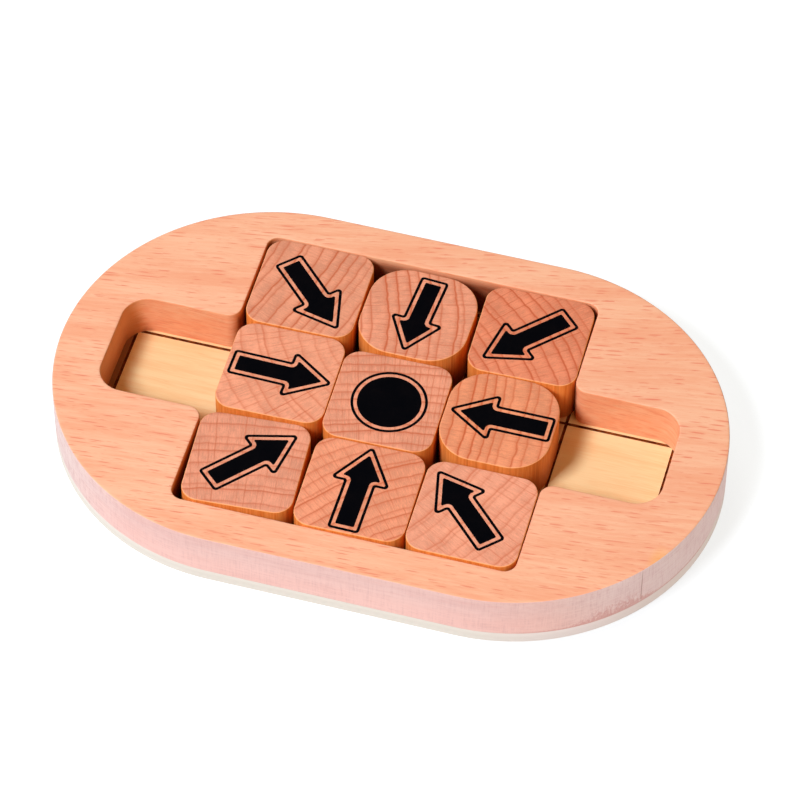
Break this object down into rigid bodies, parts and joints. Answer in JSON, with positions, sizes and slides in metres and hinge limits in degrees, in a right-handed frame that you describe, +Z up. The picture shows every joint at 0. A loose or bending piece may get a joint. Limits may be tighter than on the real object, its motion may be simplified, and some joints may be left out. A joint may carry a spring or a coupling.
{
  "type": "sliding tile puzzle",
  "caption": "Round-ended wooden board with a square well of loose end-grain tiles that slide by way of an empty bay at each end of the middle row.",
  "frame": {"origin": "on the underside, below the centre of the board", "axes": "+X along the board, +Y away from the player, +Z up"},
  "size_m": [0.15, 0.095, 0.0145],
  "materials": {
    "frame_beech": "sanded flat-sawn beech with a thin clear satin coat",
    "base_plywood": "pale sanded plywood, uncoated",
    "tile_beech": "sanded end-grain beech, with a thin clear satin coat",
    "print_ink": "thin film of black printing ink"
  },
  "bodies": {
    "tray": {"base_board": "base_plywood", "frame": "frame_beech"},
    "front_left": {"tile_front_left": "tile_beech"},
    "front_middle": {"tile_front_middle": "tile_beech"},
    "front_right": {"tile_front_right": "tile_beech"},
    "left": {"tile_left": "tile_beech"},
    "centre": {"tile_centre": "tile_beech"},
    "right": {"tile_right": "tile_beech"},
    "back_left": {"tile_back_left": "tile_beech"},
    "back_middle": {"tile_back_middle": "tile_beech"},
    "back_right": {"tile_back_right": "tile_beech"}
  },
  "joints": [
    {"name": "left_tile_slide", "type": "slide", "parent": "tray", "child": "left", "axis": [-1, 0, 0], "range_m": [0, 0.025]},
    {"name": "right_tile_slide", "type": "slide", "parent": "tray", "child": "right", "axis": [1, 0, 0], "range_m": [0, 0.025]},
    {"name": "front_left_lift", "type": "slide", "parent": "tray", "child": "front_left", "axis": [0, 0, 1], "range_m": [0, 0.012]},
    {"name": "front_middle_lift", "type": "slide", "parent": "tray", "child": "front_middle", "axis": [0, 0, 1], "range_m": [0, 0.012]},
    {"name": "front_right_lift", "type": "slide", "parent": "tray", "child": "front_right", "axis": [0, 0, 1], "range_m": [0, 0.012]},
    {"name": "centre_lift", "type": "slide", "parent": "tray", "child": "centre", "axis": [0, 0, 1], "range_m": [0, 0.012]},
    {"name": "back_left_lift", "type": "slide", "parent": "tray", "child": "back_left", "axis": [0, 0, 1], "range_m": [0, 0.012]},
    {"name": "back_middle_lift", "type": "slide", "parent": "tray", "child": "back_middle", "axis": [0, 0, 1], "range_m": [0, 0.012]},
    {"name": "back_right_lift", "type": "slide", "parent": "tray", "child": "back_right", "axis": [0, 0, 1], "range_m": [0, 0.012]}
  ]
}
